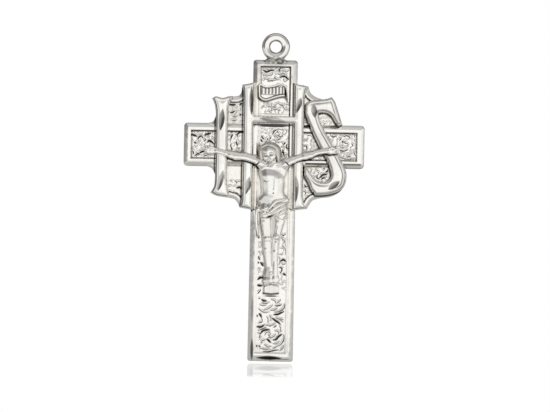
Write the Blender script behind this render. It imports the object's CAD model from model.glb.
import math
from functools import partial

import bpy
import numpy as np
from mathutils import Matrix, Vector
from mathutils.geometry import delaunay_2d_cdt


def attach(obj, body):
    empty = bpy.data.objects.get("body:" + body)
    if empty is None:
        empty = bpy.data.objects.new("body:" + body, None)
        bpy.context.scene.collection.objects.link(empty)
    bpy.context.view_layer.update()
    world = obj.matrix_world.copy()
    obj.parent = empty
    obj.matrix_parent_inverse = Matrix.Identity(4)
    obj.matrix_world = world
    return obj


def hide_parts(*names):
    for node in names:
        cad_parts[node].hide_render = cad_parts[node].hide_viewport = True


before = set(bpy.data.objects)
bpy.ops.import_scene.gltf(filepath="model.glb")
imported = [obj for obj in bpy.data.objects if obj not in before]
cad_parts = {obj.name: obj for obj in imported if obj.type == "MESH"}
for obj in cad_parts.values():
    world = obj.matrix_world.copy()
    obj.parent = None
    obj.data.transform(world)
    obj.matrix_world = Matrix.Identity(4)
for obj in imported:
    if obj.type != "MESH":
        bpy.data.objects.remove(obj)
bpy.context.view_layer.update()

# All shapes below are in millimetres, x to the right, z up, heights measured towards the
# viewer (the y axis points backwards); meshes are scaled to metres when they are made.
MM = 0.001
BACK = -0.6          # height of the flat back
FIELD = 0.25         # height of the sunk field of the cross
CREST = 0.6          # height of its rim
PLATE = 0.15         # height of the corner webs
LETTER = 1.15        # height of the letter edges
LETTER_WALL = 0.72   # height of the letters' upright sides over the webs
LETTER_BACK = 0.12   # height of the letters' backs, hidden in the webs
HALF_SHAFT = 2.33    # half width of the head and the upper shaft
STEP = 0.055         # spacing of the relief meshes
FINER = 0.66         # share of that spacing where the mesh is closer
EDGE_GAP = 0.45      # share of the spacing kept free along an outline
BESIDE_STEP = 0.05   # spacing of the guide points along an outline
CUT_STEP = 0.035     # spacing of the points along a chased cut
CUT_DEPTH = 0.05     # depth of a chased cut at full strength
LEAF_RISE = 0.05     # height of the leaf beside it
LIPS = (-1.05, -0.5, 0.5, 1.05)   # rows of points across a cut, in widths of the cut
GUIDE_GAP = 0.03     # least distance between a guide point and its neighbours
EASED = ((0.06, 0.0), (0.02, 0.01), (0.0, 0.04))   # rows of the back's edge: height, inset
SHARP = 48           # degrees between faces above which an edge is sharp
BLEND_ROOM = 0.15    # room left round a clay shape besides its blend


# ---- small maths ----
def ramp(x, a, b):
    t = np.clip((x - a) / (b - a), 0, 1)
    return t * t * (3 - 2 * t)


def smin(a, b, k):
    h = np.clip(0.5 + 0.5 * (b - a) / k, 0, 1)
    return b + (a - b) * h - k * h * (1 - h)


def turn(a, b, angle):
    # coordinates along axes turned by the angle
    co, si = math.cos(angle), math.sin(angle)
    return a * co + b * si, b * co - a * si


def spline(pts, n=12):
    p = np.array(pts, float)
    q = np.vstack([2 * p[0] - p[1], p, 2 * p[-1] - p[-2]])
    t = np.linspace(0, 1, n, endpoint=False)[:, None]
    out = []
    for i in range(1, len(q) - 2):
        a, b, c, d = q[i - 1], q[i], q[i + 1], q[i + 2]
        out.append(0.5 * (2 * b + (c - a) * t + (2 * a - 5 * b + 4 * c - d) * t ** 2
                          + (3 * b - a - 3 * c + d) * t ** 3))
    return np.vstack(out + [p[-1:]])


def blend(grid, i, j, u, w):
    # value at the shares u and w between neighbours of a grid that repeats
    m, n = grid.shape
    low, high = (grid[i % m, k % n] * (1 - u) + grid[(i + 1) % m, k % n] * u for k in (j, j + 1))
    return low * (1 - w) + high * w


def noise2(x, z, size, seed):
    # smooth value noise on a lattice of the given size
    grid = np.random.default_rng(seed).uniform(-1, 1, (97, 97))
    u, w = x / size + 500, z / size + 500
    i, j = np.floor(u).astype(int), np.floor(w).astype(int)
    u, w = u - i, w - j
    return blend(grid, i, j, u * u * (3 - 2 * u), w * w * (3 - 2 * w))


# ---- outlines ----
def path(start, *runs):
    # from a first point, runs of further points joined straight ("L") or smoothly ("C")
    out = [np.array([start], float)]
    for kind, *pts in runs:
        p = np.array([out[-1][-1], *pts])
        out.append((p if kind == "L" else spline(p))[1:])
    return np.vstack(out)


def sides(p, closed=True):
    return list(zip(p, np.roll(p, -1, 0)))[:None if closed else -1]


def resample(p, step, closed=True):
    out = []
    for a, b in sides(p, closed):
        n = max(1, int(round(np.linalg.norm(b - a) / step)))
        out.append(a + (b - a) * (np.arange(n) / n)[:, None])
    if not closed:
        out.append(p[-1:])
    return np.vstack(out)


def distance(x, z, p, closed=True):
    # distance from each point to a polyline
    best = np.full(x.shape, 1e9)
    for a, b in sides(p, closed):
        d = b - a
        n = d @ d
        if n < 1e-12:
            continue
        t = np.clip(((x - a[0]) * d[0] + (z - a[1]) * d[1]) / n, 0, 1)
        best = np.minimum(best, (x - a[0] - t * d[0]) ** 2 + (z - a[1] - t * d[1]) ** 2)
    return np.sqrt(best)


def inside(x, z, p):
    c = np.zeros(x.shape, bool)
    for (ax, az), (bx, bz) in sides(p):
        if az == bz:
            continue
        hit = (az > z) != (bz > z)
        c ^= hit & (x < (bx - ax) * (z - az) / (bz - az) + ax)
    return c


def signed(x, z, p):
    # positive inside the outline
    return np.where(inside(x, z, p), 1, -1) * distance(x, z, p)


def blot(x, z, cx, cz, rx, rz):
    # 1 in the middle of a soft oval, 0 outside it
    return ramp(1 - ((x - cx) / rx) ** 2 - ((z - cz) / rz) ** 2, 0.0, 0.8)


def ridge(distances, width, power=2):
    # 1 on a line, falling off softly on both sides
    return np.exp(-(distances / width) ** power)


# ---- meshes ----
def place(name, data):
    obj = bpy.data.objects.new(name, data)
    bpy.context.scene.collection.objects.link(obj)
    return obj


def make(name, verts, faces, slot, material, nodes=(), dirt=0.0):
    # one piece; its dirt is a level, a level for each point, or a function of places and normals
    mesh = bpy.data.meshes.new(name)
    v = np.asarray(verts, np.float32)
    mesh.from_pydata(v * MM, [], faces)
    mesh.validate()
    mesh.shade_smooth()
    mesh.set_sharp_from_angle(angle=math.radians(SHARP))
    mesh.polygons.foreach_set("use_smooth", read(mesh.polygons, "normal", 3)[:, 1] < 0.999)
    normals = add_cavity(mesh)
    soil = dirt(v, normals) if callable(dirt) else dirt
    add_values(mesh, "dirt", np.zeros(len(v)) + soil)
    mesh.materials.append(material)
    obj = place(name, mesh)
    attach(obj, "root")
    if nodes:
        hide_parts(*nodes)


def read(rows, name, width, kind=np.float32):
    # one property of every vertex, edge or face
    out = np.empty(len(rows) * width, kind)
    rows.foreach_get(name, out)
    return out.reshape(-1, width)


def add_values(mesh, name, values):
    data = mesh.attributes.new(name, "FLOAT", "POINT").data
    data.foreach_set("value", np.clip(values, 0, 1).astype(np.float32))


def add_cavity(mesh):
    # how far each point lies below its smoothed surroundings, 0 to 1, for the dark patina
    n = len(mesh.vertices)
    co = read(mesh.vertices, "co", 3) / MM
    nor = read(mesh.vertex_normals, "vector", 3)
    e = read(mesh.edges, "vertices", 2, np.int32)
    deg = np.bincount(e.ravel(), minlength=n).astype(np.float32)
    deg[deg == 0] = 1
    s = co.copy()
    total = np.zeros(n, np.float32)
    for rounds, reach in ((4, 0.05), (10, 0.11)):
        for _ in range(rounds):
            acc = [np.bincount(e[:, 0], s[e[:, 1], a], n) + np.bincount(e[:, 1], s[e[:, 0], a], n)
                   for a in range(3)]
            s = np.stack(acc, 1) / deg[:, None]
        total += np.clip(np.einsum("ij,ij->i", s - co, nor) / reach, -1, 1)
    add_values(mesh, "cavity", 0.5 + 0.5 * total)
    return nor


def triangulate(loop, inner, outline):
    pts = [Vector(p) for p in loop] + [Vector(p) for p in inner]
    n = len(loop)
    edges = [(i, (i + 1) % n) for i in range(n)]
    v, _, f = delaunay_2d_cdt(pts, edges, [], 1, 1e-5, False)[:3]
    v, f = np.array([(p.x, p.y) for p in v]), np.array([t for t in f if len(t) == 3])
    mid = v[f].mean(1)
    return v, f[inside(mid[:, 0], mid[:, 1], outline)]


def facing(v, f, forward):
    # triangles wound to face the front or the back
    a = v[f[:, 1]] - v[f[:, 0]]
    b = v[f[:, 2]] - v[f[:, 0]]
    up = (a[:, 0] * b[:, 1] - a[:, 1] * b[:, 0]) > 0
    return np.where((up == forward)[:, None], f, f[:, ::-1])


def lattice(outline, step):
    # evenly spread points inside the outline
    lo, hi = outline.min(0), outline.max(0)
    x, z = np.meshgrid(np.arange(lo[0], hi[0], step), np.arange(lo[1], hi[1], step))
    x[1::2] += step / 2
    p = np.stack([x.ravel(), z.ravel()], 1)
    p = p[inside(*p.T, outline)]
    return p[distance(*p.T, outline) > EDGE_GAP * step]


def square_to(along):
    # unit vectors a quarter turn to the left of the given ones
    unit = along / (np.linalg.norm(along, axis=1, keepdims=True) + 1e-9)
    return np.stack([-unit[:, 1], unit[:, 0]], 1)


def around(p):
    # directions along a closed line of points
    return np.roll(p, -1, 0) - np.roll(p, 1, 0)


def along_cuts(touches):
    # points on the floor and the lips of every cut
    out = []
    for p, _, width, _ in touches:
        nrm = square_to(np.gradient(p, axis=0))
        w = (width * np.sin(np.pi * (0.1 + 0.8 * np.linspace(0, 1, len(p)))) ** 0.6)[:, None]
        out += [p + nrm * w * k for k in LIPS]
    return np.vstack(out)


def beside(outline, offsets, inner=False):
    # points running along an outline, outside or inside it
    p = resample(outline, BESIDE_STEP)
    n = square_to(around(p))
    out = np.vstack([p + s * n * k for k in offsets for s in (1, -1)])
    return out[inside(*out.T, outline) == inner]


def lifted(p, height):
    # places of the front view moved towards the viewer by a height
    return np.stack([p[:, 0], -height * np.ones(len(p)), p[:, 1]], 1)


def relief(name, outline, height, slot, material, node_name, dirt, back=BACK, step=STEP,
           fine=None, guides=()):
    # a struck piece: front from height(x, z), upright sides, flat back with eased edges;
    # the mesh is closer where fine(x, z) holds and follows the rows of guide points
    loop = resample(outline, step)
    inner = lattice(outline, step)
    if fine is not None:
        close = lattice(outline, FINER * step)
        inner = np.vstack([inner[~fine(*inner.T)], close[fine(*close.T)]])
    if len(guides):
        cuts = np.vstack(guides)
        cuts = cuts[inside(*cuts.T, outline)]
        cuts = cuts[distance(*cuts.T, outline) > GUIDE_GAP]
        taken = set(map(tuple, np.round(cuts / GUIDE_GAP).astype(int).tolist()))
        free = [tuple(q) not in taken for q in np.round(inner / GUIDE_GAP).astype(int).tolist()]
        inner = np.vstack([inner[np.array(free)], cuts])
    v, f = triangulate(loop, inner, outline)
    front = lifted(v, height(*v.T))
    f = facing(v, f, True)
    e = np.vstack([f[:, [0, 1]], f[:, [1, 2]], f[:, [2, 0]]])
    key = e.min(1).astype(np.int64) * len(v) + e.max(1)
    _, first, count = np.unique(key, return_index=True, return_counts=True)
    rim = e[first[count == 1]]
    nxt = dict(rim.tolist())
    order = [int(rim[0, 0])]
    while nxt[order[-1]] != order[0] and len(order) <= len(rim):
        order.append(nxt[order[-1]])
    ring = v[order]
    t = around(ring)
    t /= np.maximum(np.linalg.norm(t, axis=1, keepdims=True), 1e-9)
    inward = np.stack([-t[:, 1], t[:, 0]], 1)
    rows = [np.asarray(order)]
    verts = [front]
    base, m = len(v), len(order)
    for rise, inset in EASED:
        p = ring + inward * inset
        verts.append(lifted(p, back + rise))
        rows.append(np.arange(base, base + m))
        base += m
    faces = [f]
    for r0, r1 in zip(rows, rows[1:]):
        r0n, r1n = np.roll(r0, -1), np.roll(r1, -1)
        faces += [np.stack([r0n, r0, r1], 1), np.stack([r0n, r1, r1n], 1)]
    cv, cf = triangulate(p, np.empty((0, 2)), p)
    if len(cv) > m:
        # the inset line crosses itself, so the back gets points of its own
        verts.append(lifted(cv, back))
        rows[-1] = np.arange(base, base + len(cv))
        base += len(cv)
    faces.append(rows[-1][facing(cv, cf, False)])
    soil = np.zeros(base)
    soil[:len(v)] = dirt(*v.T)
    make(name, np.vstack(verts), np.vstack(faces), slot, material, [node_name], soil)


# ---- chased foliage ----
def touch(strength, pts, width=0.066, leaf=0.11):
    # one touch of the chasing tool: a tapered cut with a small leaf swelling above it
    width += 0.045 * (strength > 0.95) + 0.022 * (strength > 0.7)
    return resample(spline(pts, 8), CUT_STEP, closed=False), strength, width, leaf


def touches_of(rows):
    return [touch(strength, pts) for strength, *pts in rows]


def sprigs(x0, x1, z0, z1, pitch, seed, whorls, bold):
    # closely set touches that curl round the whorls; bold is the share of deep ones
    r = np.random.default_rng(seed)
    out = []
    nx = max(1, int(round((x1 - x0) / pitch)))
    nz = max(1, int(round((z1 - z0) / pitch)))
    for i in range(nx):
        for j in range(nz):
            cx = x0 + (i + r.uniform(0.2, 0.8)) * (x1 - x0) / nx
            cz = z0 + (j + r.uniform(0.2, 0.8)) * (z1 - z0) / nz
            a = r.uniform(0, math.pi)
            for wx, wz, hand in whorls:
                if math.hypot(cx - wx, cz - wz) < 1.2:
                    a = math.atan2(cz - wz, cx - wx) + hand * 1.35 + r.uniform(-0.3, 0.3)
            n = pitch * r.uniform(0.35, 0.62)
            bend = r.uniform(0.3, 0.9) * r.choice([-1, 1])
            pts = [(cx + n * u * math.cos(a) - n * bend * (u * u - 0.4) * math.sin(a),
                    cz + n * u * math.sin(a) + n * bend * (u * u - 0.4) * math.cos(a))
                   for u in (-1, 0, 1)]
            strength = r.uniform(0.75, 1.0) if r.uniform() < bold else r.uniform(0.2, 0.5)
            out.append(touch(strength, pts, r.uniform(0.045, 0.068), r.uniform(0.08, 0.12)))
    return out


def chase(x, z, touches):
    # height of the leaves less the cuts, and the dirt that stays in the cuts
    h, soil = np.zeros(x.shape), np.zeros(x.shape)
    for p, strength, width, leaf in touches:
        m = 2 * leaf + 0.1
        lo, hi = p.min(0) - m, p.max(0) + m
        idx = np.nonzero((x > lo[0]) & (x < hi[0]) & (z > lo[1]) & (z < hi[1]))[0]
        if not len(idx):
            continue
        d = np.hypot(x[idx, None] - p[None, :, 0], z[idx, None] - p[None, :, 1])
        k = np.argmin(d, 1)
        d = d[np.arange(len(idx)), k]
        nrm = square_to(np.gradient(p, axis=0))
        nrm *= 1 if (nrm @ (0.5, 1)).mean() > 0 else -1
        side = (x[idx] - p[k, 0]) * nrm[k, 0] + (z[idx] - p[k, 1]) * nrm[k, 1]
        taper = np.sin(np.pi * (0.12 + 0.76 * k / max(len(p) - 1, 1))) ** 0.6
        q = (side - leaf * taper) / (leaf * taper)
        along = np.clip(1.3 - (d - np.abs(side)) / 0.08, 0, 1)
        h[idx] = np.maximum(h[idx], LEAF_RISE * taper * np.clip(1 - q * q, 0, 1) * along)
        cut = min(1.25 * strength, 1.0) * np.clip(2.3 - 2.2 * d / (width * taper), 0, 1)
        h[idx] -= CUT_DEPTH * cut
        soil[idx] = np.maximum(soil[idx], cut)
    return h, soil


def crevice(x, z, raised, reach):
    # dirt gathers under and to the left of whatever stands up
    near = np.clip(-raised(x + reach, z + 1.2 * reach), 0, 1)
    return ridge(near, 0.9 * reach) * ramp(-raised(x, z), -0.05, 0.01)


# ---- modelling clay ----
class Clay:
    # a distance field on a regular grid; everything behind `pull` is struck straight back
    def __init__(self, lo, hi, h, pull=None, draft=0.12):
        self.lo, self.h = np.array(lo, float), h
        n = np.ceil((np.array(hi) - self.lo) / h).astype(int) + 1
        ax = [(self.lo[i] + h * np.arange(n[i])).astype(np.float32) for i in range(3)]
        self.x, self.y, self.z = ax[0][:, None, None], ax[1][None, :, None], ax[2][None, None, :]
        self.yraw = self.y
        if pull is not None:
            self.y = np.minimum(self.y, pull)
            self.grow = draft * np.maximum(self.yraw - pull, 0)
        else:
            self.grow = 0 * self.yraw
        self.pull = pull
        self.d = np.full(n, 9.0, np.float32)

    def part(self, lo, hi, k):
        # the piece of the grid that a shape blended over k can reach
        pad = 2 * k + BLEND_ROOM
        s = []
        for i in range(3):
            a = int(math.floor((lo[i] - pad - self.lo[i]) / self.h))
            b = int(math.ceil((hi[i] + pad - self.lo[i]) / self.h)) + 1
            if i == 1 and self.pull is not None:
                b = self.d.shape[1]
            a, b = max(0, a), min(self.d.shape[i], b)
            s.append(slice(a, max(a, b)))
        return tuple(s), (self.x[s[0]], self.y[:, s[1]], self.z[:, :, s[2]])

    def join(self, s, d, k, cut):
        d = d.astype(np.float32)
        self.d[s] = -smin(-self.d[s], d, k) if cut else smin(self.d[s], d, k)

    def cone(self, a, b, ra, rb, k=0.1, cut=False, lean=0.0):
        # tapered limb; with lean its crest is moved down, so the front looks upwards
        a, b = np.array(a, float), np.array(b, float)
        r = max(ra, rb)
        s, (x, y, z) = self.part(np.minimum(a, b) - r, np.maximum(a, b) + r, k)
        ba = b - a
        px, py, pz = x - a[0], y - a[1], z - a[2]
        t = np.clip((px * ba[0] + py * ba[1] + pz * ba[2]) / (ba @ ba), 0, 1)
        dz = pz - t * ba[2]
        d = np.sqrt((px - t * ba[0]) ** 2 + (py - t * ba[1] - lean * dz) ** 2 + dz ** 2)
        self.join(s, d - (ra + (rb - ra) * t), k, cut)

    def egg(self, c, r, k=0.1, cut=False, rot=0.0):
        c, r = np.array(c, float), np.array(r, float)
        m = r.max()
        s, (x, y, z) = self.part(c - m, c + m, k)
        x, y, z = x - c[0], y - c[1], z - c[2]
        if rot:
            x, z = turn(x, z, rot)
        u = np.sqrt((x / r[0]) ** 2 + (y / r[1]) ** 2 + (z / r[2]) ** 2)
        g = np.sqrt((x / r[0] ** 2) ** 2 + (y / r[1] ** 2) ** 2 + (z / r[2] ** 2) ** 2)
        self.join(s, u * (u - 1) / np.maximum(g, 1e-6), k, cut)

    def chain(self, pts, radii, k=0.08, cut=False, n=5):
        p = spline(pts, n)
        r = np.interp(np.linspace(0, 1, len(p)), np.linspace(0, 1, len(radii)), radii)
        for i in range(len(p) - 1):
            self.cone(p[i], p[i + 1], r[i], r[i + 1], k, cut)

    def mesh(self, stop=None):
        d = self.d - self.grow.astype(np.float32)
        if stop is not None:
            d = np.maximum(d, (self.yraw - stop).astype(np.float32))
        d[0], d[-1], d[:, 0], d[:, -1], d[:, :, 0], d[:, :, -1] = 1, 1, 1, 1, 1, 1
        s = d < 0
        corners = [(i, j, k) for i in (0, 1) for j in (0, 1) for k in (0, 1)]
        n = np.array(d.shape)
        total = np.zeros(n - 1, np.int8)
        for i, j, k in corners:
            total += s[i:n[0] - 1 + i, j:n[1] - 1 + j, k:n[2] - 1 + k]
        cells = np.argwhere((total > 0) & (total < 8))
        ident = np.full(n - 1, -1, np.int32)
        ident[tuple(cells.T)] = np.arange(len(cells))
        acc = np.zeros((len(cells), 3))
        cnt = np.zeros(len(cells))
        for p in corners:
            for a in range(3):
                if p[a] == 1:
                    continue
                q = list(p)
                q[a] = 1
                v0 = d[tuple((cells + p).T)]
                v1 = d[tuple((cells + q).T)]
                hit = (v0 < 0) != (v1 < 0)
                t = np.where(hit, v0 / np.where(hit, v0 - v1, 1), 0)
                pos = np.tile(np.array(p, float), (len(cells), 1))
                pos[:, a] += t
                acc += pos * hit[:, None]
                cnt += hit
        verts = self.lo + self.h * (cells + acc / cnt[:, None])
        faces = []
        for a in range(3):
            b, c2 = (a + 1) % 3, (a + 2) % 3
            lo = [slice(None)] * 3
            hi = [slice(None)] * 3
            lo[a], hi[a] = slice(0, -1), slice(1, None)
            edge = np.argwhere(s[tuple(lo)] != s[tuple(hi)])
            edge = edge[(edge[:, b] > 0) & (edge[:, c2] > 0)]
            flip = s[tuple(lo)][tuple(edge.T)]
            quad = []
            for db, dc in ((-1, -1), (0, -1), (0, 0), (-1, 0)):
                cell = edge.copy()
                cell[:, b] += db
                cell[:, c2] += dc
                quad.append(ident[tuple(cell.T)])
            quad = np.stack(quad, 1)
            faces.append(np.where(flip[:, None], quad, quad[:, ::-1]))
        return verts, np.vstack(faces)


# ---- materials ----
def node(tree, kind, feeds=(), **settings):
    # a node with its settings; a feed is a plain value, or an output to link to that input
    made = tree.nodes.new("ShaderNode" + kind)
    for name, value in settings.items():
        setattr(made, name, value)
    for key, value in dict(feeds).items():
        if isinstance(value, bpy.types.NodeSocket):
            tree.links.new(value, made.inputs[key])
        else:
            made.inputs[key].default_value = value
    return made


def between(tree, value, start, end, low=0.0, high=1.0, kind="SMOOTHSTEP"):
    # from low to high while the value goes from start to end
    return node(tree, "MapRange", {"Value": value, "From Min": start, "From Max": end,
                                   "To Min": low, "To Max": high},
                interpolation_type=kind).outputs[0]


def math_node(tree, operation, *values):
    return node(tree, "Math", enumerate(values), operation=operation).outputs[0]


WARM = np.array((1.0, 0.982, 0.945))     # tint of silver against a white light
BLACK = (0.022, 0.021, 0.018, 1)         # the tarnish left in cuts
CLOUD = 0.16                             # share of the cloud that breaks up the tarnish
RIPPLE = 0.00006                         # height of the ripples left by polishing, metres
SCRATCH = 0.000006                       # height of the rubbing marks, metres
DULLED = 0.3                             # roughness that full tarnish adds
CLOUD_SCALE, RIPPLE_SCALE, RUB_SCALE = 1400.0, 1100.0, 5200.0


def silver(name, bright, dark, rough, worn, wave, grain, patina=(0.66, 1.0)):
    # colours when clean and tarnished, least and most roughness, strengths of the ripples and
    # the rubbing, and the hollowness at which tarnish starts and is full
    mat = bpy.data.materials.new(name)
    mat.use_nodes = True
    tree = mat.node_tree
    shader = tree.nodes["Principled BSDF"]
    shader.inputs["Metallic"].default_value = 1.0
    add = partial(node, tree)
    here = add("TexCoord").outputs["Object"]

    def noise(where, scale, detail):
        feeds = {"Vector": where, "Scale": scale, "Detail": detail}
        return add("TexNoise", feeds).outputs["Fac"]

    # tarnish: dark in the hollows, broken up by a soft cloud
    hollow = add("Attribute", attribute_name="cavity").outputs["Fac"]
    mixed = math_node(tree, "MULTIPLY_ADD", noise(here, CLOUD_SCALE, 3.0), CLOUD, hollow)
    tarnish = between(tree, mixed, patina[0] + CLOUD / 2, patina[1] + CLOUD / 2)
    colour = add("Mix", {0: tarnish, 6: (*(np.array(bright) * WARM), 1), 7: (*dark, 1)},
                 data_type="RGBA")
    # black left in the cuts and at the foot of raised parts
    soil = add("Attribute", attribute_name="dirt").outputs["Fac"]
    black = add("Mix", {0: soil, 6: colour.outputs[2], 7: BLACK}, data_type="RGBA")
    # finish: fine rubbing marks, rougher where the tarnish sits
    stretch = add("Mapping", {"Vector": here, "Scale": (1.0, 1.0, 0.22),
                              "Rotation": (0.0, 0.5, 0.0)})
    rub = noise(stretch.outputs[0], RUB_SCALE, 4.0)
    finish = between(tree, rub, 0.3, 0.7, rough, worn, "LINEAR")
    finish = math_node(tree, "MULTIPLY_ADD", tarnish, DULLED, finish)
    # form: slow ripples left by polishing, then the grain of the rubbing
    slow = add("Bump", {"Strength": wave, "Distance": RIPPLE,
                        "Height": noise(here, RIPPLE_SCALE, 1.0)})
    quick = add("Bump", {"Strength": grain, "Distance": SCRATCH, "Height": rub,
                         "Normal": slow.outputs[0]})
    for key, value in (("Base Color", black.outputs[2]), ("Roughness", finish),
                       ("Normal", quick.outputs[0])):
        tree.links.new(value, shader.inputs[key])
    return mat


WHITE = (0.95, 0.945, 0.93)
DIM = (0.3, 0.29, 0.27)
m_cross = silver("cast_silver", WHITE, (0.4, 0.39, 0.37), 0.16, 0.26, 0.5, 0.5)
m_web = silver("web_silver", (0.93, 0.925, 0.91), DIM, 0.2, 0.32, 0.6, 0.6)
m_letter = silver("polished_silver", (0.96, 0.955, 0.94), DIM, 0.08, 0.15, 0.45, 0.3)
m_title = silver("plaque_silver", WHITE, (0.22, 0.215, 0.2), 0.17, 0.27, 0.4, 0.5)
m_body = silver("figure_silver", (0.95, 0.945, 0.935), (0.1, 0.098, 0.09), 0.18, 0.28, 0.25,
                0.4, (0.62, 0.95))
m_face = silver("face_silver", WHITE, (0.03, 0.029, 0.026), 0.2, 0.28, 0.1, 0.3, (0.52, 0.74))
m_hair = silver("hair_silver", (0.62, 0.61, 0.59), (0.12, 0.115, 0.105), 0.22, 0.32, 0.2, 0.5,
                (0.55, 0.85))
m_cloth = silver("cloth_silver", WHITE, (0.07, 0.068, 0.06), 0.2, 0.3, 0.3, 0.5, (0.65, 0.9))
m_nail = silver("nail_silver", WHITE, DIM, 0.12, 0.2, 0.2, 0.3)
m_ring = silver("ring_silver", (0.94, 0.935, 0.92), (0.28, 0.275, 0.26), 0.12, 0.22, 0.6, 0.4)


# ---- outlines of the pieces ----
def rounded(pts, radii):
    # polygon with its corners rounded, except those given radius 0
    out = []
    for i, (p, r) in enumerate(zip(pts, radii)):
        if r == 0:
            out.append(p[None])
            continue
        a, b = pts[i - 1], pts[(i + 1) % len(pts)]
        u, v = (a - p) / np.linalg.norm(a - p), (b - p) / np.linalg.norm(b - p)
        half = math.acos(np.clip(u @ v, -1, 1)) / 2
        k = r / math.tan(half)
        c = p + (u + v) / np.linalg.norm(u + v) * r / math.sin(half)
        s, e = p + u * k - c, p + v * k - c
        a0, a1 = math.atan2(s[1], s[0]), math.atan2(e[1], e[0])
        a1 = a0 + (a1 - a0 + math.pi) % (2 * math.pi) - math.pi
        t = np.linspace(a0, a1, 6)
        out.append(np.stack([c[0] + r * np.cos(t), c[1] + r * np.sin(t)], 1))
    return np.vstack(out)


HEAD_TOP, ARM_TOP, ARM_LOW, FOOT = -1.4, -8.15, -12.7, -33.15
ARM_END, HALF_FOOT = 9.5, 2.4
# corners of the right half from the top down, each with its rounding
corners = np.array([(HALF_SHAFT, HEAD_TOP, 0.3), (HALF_SHAFT, ARM_TOP, 0), (ARM_END, ARM_TOP, 0.36),
                    (ARM_END, ARM_LOW, 0.36), (HALF_SHAFT, ARM_LOW, 0), (HALF_FOOT, FOOT, 0.3)])
corners = np.roll(np.vstack([corners, corners[::-1] * (-1, 1, 1)]), 1, 0)
CROSS = rounded(corners[:, :2], corners[:, 2])
SUNK = [np.array([(x0, z0), (x1, z0), (x1, z1), (x0, z1)], float) for x0, x1, z0, z1 in
        ((-1.55, 1.6, -32.25, -2.08), (-8.75, -2.6, -11.93, -8.92), (2.5, 8.75, -11.93, -8.92))]
WEB = HALF_SHAFT - 0.1    # the webs reach this far under the cross
UL_OUT = path((-7.0, -8.15), ("C", (-6.5, -8.0), (-6.27, -7.6), (-6.18, -7.2)),
              ("L", (-6.24, -6.6), (-6.38, -6.1), (-6.6, -5.56)),
              ("C", (-6.2, -5.33), (-5.5, -5.46), (-4.7, -5.27), (-4.3, -5.3), (-3.8, -5.2),
                   (-3.55, -4.85), (-3.48, -4.3)))
UL = np.vstack([UL_OUT, [(-3.3, -4.05), (-WEB, -3.8), (-WEB, -8.3), (-7.0, -8.3)]])
LL_OUT = path((-3.48, -17.0), ("C", (-3.8, -16.4), (-4.1, -16.12), (-4.5, -16.02)),
              ("L", (-5.0, -15.93), (-6.0, -15.78), (-6.58, -15.5), (-6.43, -15.2), (-6.23, -14.8),
                   (-6.13, -14.2)), ("C", (-6.2, -13.5), (-6.5, -12.95), (-7.0, -12.7)))
LL = np.vstack([LL_OUT, [(-7.0, -12.55), (-WEB, -12.55), (-WEB, -17.2)]])
UR_OUT = path((3.48, -4.1), ("C", (3.75, -4.8), (4.3, -5.2), (5.0, -5.42), (5.55, -5.35), (5.93, -5.18)),
              ("C", (6.28, -5.6), (6.48, -6.1), (6.68, -6.7), (6.88, -7.3), (7.12, -8.15)))
UR = np.vstack([UR_OUT, [(7.12, -8.3), (WEB, -8.3), (WEB, -3.85)]])
LR_OUT = path((7.52, -12.7),
              ("C", (7.67, -13.3), (7.66, -13.95), (7.36, -14.72), (6.78, -15.32), (6.0, -15.7),
                   (5.0, -15.85), (4.2, -16.1), (3.8, -16.6), (3.58, -17.0)))
LR = np.vstack([LR_OUT, [(WEB, -17.15), (WEB, -12.55), (7.5, -12.55)]])
BAR = path((-6.62, -5.55), ("C", (-6.2, -5.32), (-5.5, -5.47), (-4.75, -5.27), (-4.4, -5.38)),
           ("C", (-4.62, -5.9), (-4.76, -6.7), (-4.78, -7.6)),
           ("C", (-4.78, -11.0), (-4.78, -14.2), (-4.68, -15.2), (-4.5, -16.0)),
           ("C", (-5.2, -15.93), (-6.0, -15.8), (-6.62, -15.48)),
           ("C", (-6.42, -15.15), (-6.24, -14.75), (-6.17, -14.1)),
           ("C", (-6.2, -11.0), (-6.2, -7.4), (-6.26, -6.6), (-6.4, -6.05), (-6.62, -5.55)))[:-1]
FRAME = path((-3.5, -4.05), ("C", (-2.8, -3.93), (-2.1, -3.72)),
             ("L", (-2.1, -7.25), (1.95, -7.25), (1.95, -3.75)), ("C", (2.6, -3.95), (3.5, -4.1)),
             ("C", (3.28, -4.6), (3.17, -5.4)), ("L", (3.15, -15.7)), ("C", (3.28, -16.4), (3.6, -17.0)),
             ("C", (2.7, -17.12), (1.95, -17.25)), ("L", (1.95, -8.2), (-2.1, -8.2), (-2.1, -17.25)),
             ("C", (-2.8, -17.12), (-3.5, -17.0)), ("C", (-3.36, -16.3), (-3.33, -15.6)),
             ("L", (-3.33, -5.3)), ("C", (-3.38, -4.6), (-3.5, -4.05)))[:-1]
ESS = path((3.15, -7.05), ("L", (3.15, -6.15)),
           ("C", (3.5, -5.72), (4.0, -5.55), (5.0, -5.44), (5.6, -5.32), (5.95, -5.15)),
           ("C", (6.3, -5.6), (6.5, -6.1), (6.7, -6.7), (6.9, -7.3), (7.15, -8.1)), ("L", (6.72, -8.25)),
           ("C", (6.38, -7.9), (6.05, -7.35), (5.65, -7.0), (5.2, -6.86), (4.65, -6.9)),
           ("C", (4.85, -7.7), (5.2, -8.5), (5.7, -9.4), (6.3, -10.4), (7.0, -11.6), (7.5, -12.6),
                (7.7, -13.5), (7.5, -14.5), (7.0, -15.05), (6.3, -15.35), (5.4, -15.55), (4.45, -15.6)),
           ("C", (3.95, -15.0), (3.65, -14.3), (3.15, -13.5)), ("L", (3.15, -12.4)),
           ("C", (3.6, -12.75), (4.0, -13.3), (4.5, -13.88), (5.1, -14.1), (5.7, -14.0), (6.03, -13.5),
                (5.95, -12.9), (5.7, -12.2), (5.35, -11.5), (4.7, -10.4), (4.0, -9.0),
                (3.15, -7.05)))[:-1]
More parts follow.
